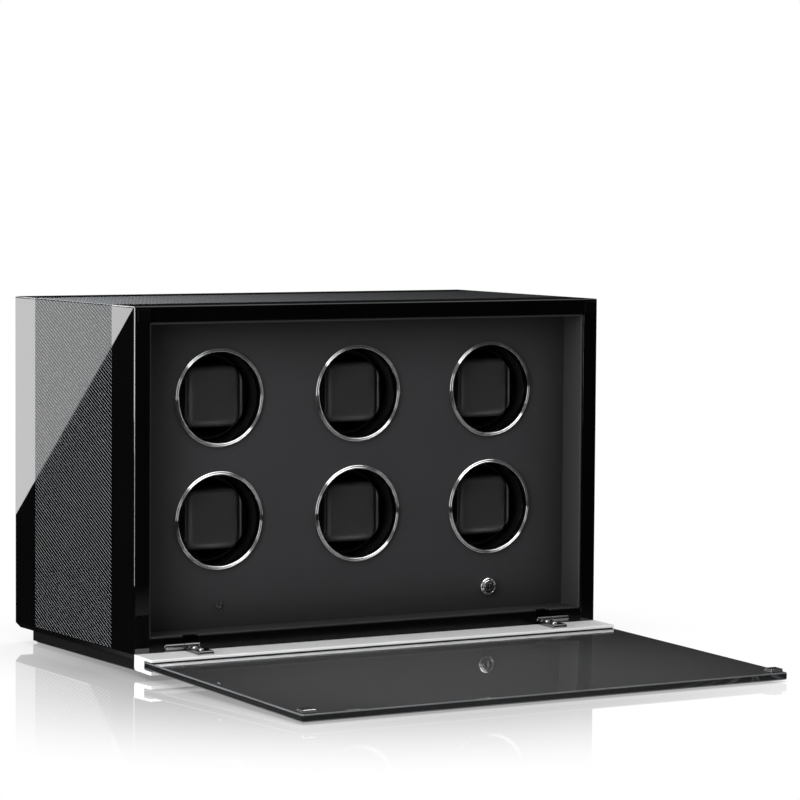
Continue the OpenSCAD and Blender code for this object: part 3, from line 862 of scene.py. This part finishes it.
def tube(path, radius, sides=8):
    """Vertices and faces of a tube along a closed path that lies in a plane of constant X."""
    vertices, faces, count = [], [], len(path)
    for k, point in enumerate(path):
        along = (path[(k + 1) % count] - path[k - 1]).normalized()
        across = Vector((1, 0, 0))
        out = along.cross(across).normalized()
        for s in range(sides):
            a = 2 * math.pi * s / sides
            vertices.append(point + (across * math.cos(a) + out * math.sin(a)) * radius)
    for k in range(count):
        for s in range(sides):
            n, t = (k + 1) % count, (s + 1) % sides
            faces.append([k * sides + s, k * sides + t, n * sides + t, n * sides + s])
    return vertices, faces


def seam_mesh(pad):
    """Piping round both ends of the pad, laid on its surface."""
    surface = BVHTree.FromPolygons(
        [v.co for v in pad.vertices], [list(p.vertices) for p in pad.polygons]
    )
    vertices, faces = [], []
    for side in (-1, 1):
        x = side * (PAD_HALF.x - SEAM_INSET)
        path = []
        for k in range(SEAM_STEPS):
            a = 2 * math.pi * k / SEAM_STEPS
            out = Vector((0, math.cos(a), math.sin(a)))
            hit = surface.ray_cast(Vector((x, 0, 0)) + out * OUTSIDE, -out)[0]
            path.append(hit - out * SEAM_SINK)
        more, quads = tube(path, SEAM_RADIUS)
        faces += [[i + len(vertices) for i in quad] for quad in quads]
        vertices += more
    mesh = mesh_of("cushion_piping", vertices, faces)
    for polygon in mesh.polygons:
        polygon.use_smooth = True
    return mesh


pad = make_pad()
piping = seam_mesh(pad)
for n in STATIONS:
    place = middle(f"cushion_{n}")
    cushion = new_piece(
        f"cushion_pad_{n}", pad, f"cushion_{n}", "cushion_leather", [f"cushion_{n}"], place
    )
    new_piece(f"cushion_piping_{n}", piping, f"cushion_{n}", "cushion_leather", place=place)


# ---------- Floor, world and lights ----------

# Where the floor mirrors the cabinet most, and where the glossy pieces see its painted glow.
FADE_CENTRE = (-0.05, -0.15, 0)
PAINTED_GLOW_CENTRE = (0, -0.3, 0)
FLOOR_HALF = 20
FLOOR_Z = -0.4 * MM
# How far the painted shade at the foot of the cabinet spreads over the floor.
SHADE_REACH = 0.3


def faded(graph, centre, distances, values):
    """A value that goes smoothly from one to another between two distances from centre."""
    away = graph.add("ShaderNodeVectorMath", {0: graph.place, 1: centre}, operation="DISTANCE")
    made = graph.add(
        "ShaderNodeMapRange",
        {
            "Value": away.outputs["Value"],
            "From Min": distances[0],
            "From Max": distances[1],
            "To Min": values[0],
            "To Max": values[1],
        },
        interpolation_type="SMOOTHSTEP",
    )
    return made.outputs[0]


def make_floor():
    """A pale glowing floor whose faint reflection of the cabinet fades out within half a metre. It
    carries painted shadow at the cabinet's foot, and glossy rays see a painted glow near the
    cabinet.
    """
    corners = [(-1, -1), (1, -1), (1, 1), (-1, 1)]
    vertices = [(x * FLOOR_HALF, y * FLOOR_HALF, FLOOR_Z) for x, y in corners]
    mesh = mesh_of("floor", vertices, [[0, 1, 2, 3]])
    floor = bpy.data.objects.new("floor", mesh)
    SCENE.collection.objects.link(floor)
    graph = Graph("floor")
    # Painted shadow: ambient occlusion dims the floor's glow near the cabinet's foot.
    floor_occlusion = graph.add("ShaderNodeAmbientOcclusion", {"Distance": SHADE_REACH}, samples=8)
    painted_shade = graph.ramp(floor_occlusion.outputs["AO"], 0.55, 1.0, 0.2, 0.8)
    pale = graph.add("ShaderNodeEmission", {"Strength": painted_shade})
    shine = graph.add("ShaderNodeBsdfGlossy", {"Roughness": 0.03, "Color": grey(1.0)})
    mirror = faded(graph, FADE_CENTRE, (0.10, 0.56), (0.6, 0.0))
    seen = graph.add("ShaderNodeMixShader", {0: mirror, 1: pale.outputs[0], 2: shine.outputs[0]})
    # Painted glow: glossy rays see the floor glow faintly near the cabinet, fading with distance.
    painted_glow = faded(graph, PAINTED_GLOW_CENTRE, (0.1, 0.42), (0.3, 0.01))
    dim = graph.add("ShaderNodeEmission", {"Strength": painted_glow})
    glossy = graph.add("ShaderNodeLightPath").outputs["Is Glossy Ray"]
    final = graph.add("ShaderNodeMixShader", {0: glossy, 1: seen.outputs[0], 2: dim.outputs[0]})
    graph.put(graph.tree.nodes["Material Output"].inputs["Surface"], final.outputs[0])
    mesh.materials.append(graph.material)
    return floor


def area_light(name, place, aim, size, radiance, acts_on=None, past=None, roll=0.0, mirrored=True):
    """A soft light of size (width, height) at place, facing aim, that the camera doesn't see.

    With acts_on it lights only that collection, and with past only that one casts its shadows.
    Unless mirrored, neither gloss nor glass shows it.
    """
    data = bpy.data.lights.new(name, "AREA")
    data.shape = "RECTANGLE"
    data.size, data.size_y = size
    # A Lambertian rectangle's power is its radiance times its area times pi.
    data.energy = radiance * size[0] * size[1] * math.pi
    light = bpy.data.objects.new(name, data)
    SCENE.collection.objects.link(light)
    facing = (Vector(aim) - Vector(place)).to_track_quat("-Z", "Y")
    turn = Euler((0, 0, roll)).to_quaternion()
    light.matrix_world = Matrix.LocRotScale(Vector(place), facing @ turn, None)
    light.visible_camera = False
    light.visible_glossy = light.visible_transmission = mirrored
    if acts_on is not None:
        light.light_linking.receiver_collection = acts_on
    if past is not None:
        light.light_linking.blocker_collection = past


def light_group(name, objects, state="INCLUDE"):
    """A collection that limits a light to some objects, or with EXCLUDE keeps it off them."""
    group = bpy.data.collections.new(name)
    for number, obj in enumerate(objects):
        group.objects.link(obj)
        group.collection_objects[number].light_linking.link_state = state
    return group


# The sky's brightness in reflections and as fill, from near the horizon to nearly overhead.
SKY_HEIGHTS = (0.15, 0.9)
SKY_STRENGTHS = (0.01, 0.3)


def make_world():
    """White to the camera, dim to reflections near the horizon, and a soft fill for the rest."""
    world = bpy.data.worlds.new("studio")
    SCENE.world = world
    world.use_nodes = True
    tree = world.node_tree
    sky = tree.nodes["Background"]
    path = tree.nodes.new("ShaderNodeLightPath")
    place = tree.nodes.new("ShaderNodeTexCoord")
    split = tree.nodes.new("ShaderNodeSeparateXYZ")
    tree.links.new(place.outputs["Generated"], split.inputs[0])
    height = tree.nodes.new("ShaderNodeMapRange")
    for socket, value in zip(
        ("From Min", "From Max", "To Min", "To Max"), SKY_HEIGHTS + SKY_STRENGTHS
    ):
        height.inputs[socket].default_value = value
    tree.links.new(split.outputs["Z"], height.inputs["Value"])
    strength = tree.nodes.new("ShaderNodeMix")
    strength.data_type = "FLOAT"
    tree.links.new(path.outputs["Is Camera Ray"], strength.inputs[0])
    tree.links.new(height.outputs[0], strength.inputs[2])
    strength.inputs[3].default_value = 1.0
    tree.links.new(strength.outputs[0], sky.inputs["Strength"])
    sky.inputs["Color"].default_value = grey(1.0)


make_world()

SHELL = nodes("left_side_panel", "right_side_panel", "top_panel", "bottom_panel")
POLISHED = [
    bpy.data.objects[name]
    for name in ("bezel_rings_turned", "switch_ring", "symbol_bar", "indicator_lens")
]
# These lie flat, and would show the side lights as white sheets in a view from the right.
FLAT = nodes("door_glass", "top_panel", "carbon_inlay_top")
floor_only = light_group("floor_only", [make_floor()])
top_only = light_group("top_only", nodes("carbon_inlay_top"))
shell_only = light_group("shell_only", SHELL)
side_only = light_group("side_only", nodes("left_side_panel"))
profile_only = light_group("profile_only", nodes("door_profile"))
catches_only = light_group("catches_only", nodes("catch_plates"))
rings_only = light_group("rings_only", POLISHED)
flat_only = light_group("flat_only", FLAT)
all_but_rings = light_group("all_but_rings", POLISHED, "EXCLUDE")
upright = light_group("upright", POLISHED + FLAT, "EXCLUDE")

# What most lights aim at.
CABINET = (0, 0, 0.2)
STATIONS_FRONT = (0, -0.1, 0.18)
area_light("overhead", (0, -0.3, 2.0), (0, -0.3, 0), (3.0, 2.4), 1.3, all_but_rings)
for name, place, size, radiance in (
    ("left", (-1.9, -0.5, 0.75), (1.4, 1.4), 7.0),
    ("front_left", (-2.4, -1.6, 0.9), (1.6, 1.8), 3.8),
    ("left_low", (-2.2, -1.2, 0.2), (1.4, 0.7), 5.0),
):
    area_light(name, place, CABINET, size, radiance, upright)
    area_light(name + "_flat", place, CABINET, size, radiance, flat_only, mirrored=False)
area_light("front", (-0.7, -2.6, 1.3), STATIONS_FRONT, (1.6, 1.2), 0.25)
area_light("rear", (0.1, 2.2, 1.4), CABINET, (2.4, 1.2), 0.6)
area_light("right", (2.0, 0.2, 0.9), CABINET, (1.2, 1.2), 1.5)
area_light("floor_backdrop", (1.2, 3.5, 1.0), (0, 0, 0.3), (9.0, 3.0), 1.0, floor_only)
# A close light that lets the carbon on top fade from left to right.
TOP_LEFT = (-0.2, 0, 0.32)
area_light(
    "top_fade", (-0.40, 0.02, 0.50), TOP_LEFT, (0.25, 0.3), 100.0, top_only, mirrored=False
)
# A narrow light that runs a line down the front corner of the lacquer and touches nothing else.
CORNER = (-0.24, -0.12, 0.16)
area_light("edge_strip", (-0.62, -0.62, 0.16), CORNER, (0.25, 0.34), 14.0, side_only)
# The edges of the catch plates gleam in a light from above and in one from the left and behind.
area_light("catch_sky", (0.2, -0.2, 1.6), (0, -0.5, 0), (2.0, 1.2), 9.0, catches_only)
CATCH = (-0.23, -0.41, 0.02)
area_light(
    "catch_left", (-1.0, 0.9, -0.2), CATCH, (1.0, 0.5), 6.0, catches_only, past=catches_only
)
# A low light from the front, for the upright lip along the door's profile.
area_light("lip_strip", (0.4, -2.6, 0.6), (0, -0.15, 0.02), (2.4, 0.4), 9.0, profile_only)
# A line along the rounded top corner of the lacquer.
area_light("corner_strip", (-0.42, 1.05, 0.86), (-0.24, 0, 0.3), (0.5, 0.3), 9.0, shell_only)
# The arch of light, from side to side over the cabinet, that draws the lines on the chrome.
for name, place, size, radiance in (
    ("ring_sky", (0.5, -0.6, 2.0), (4.4, 1.5), 6.0),
    ("ring_left", (-2.0, -1.5, 0.5), (1.8, 1.6), 1.5),
    ("ring_right", (2.0, -0.4, 0.5), (1.0, 1.6), 2.0),
    ("ring_floor", (0.5, -0.8, -0.8), (3.0, 0.9), 1.0),
):
    area_light(name, place, STATIONS_FRONT, size, radiance, rings_only, past=rings_only)
# The card that the left side mirrors, with its lower edge running down to the front.
CARD = Vector((-0.70, 1.043, 0.2403))
CARD_ROLL = math.radians(39.7)
area_light("card", CARD, CARD + Vector((1, 0, 0)), (0.52, 0.26), 4.4, roll=CARD_ROLL)

SCENE.view_settings.view_transform = "Standard"
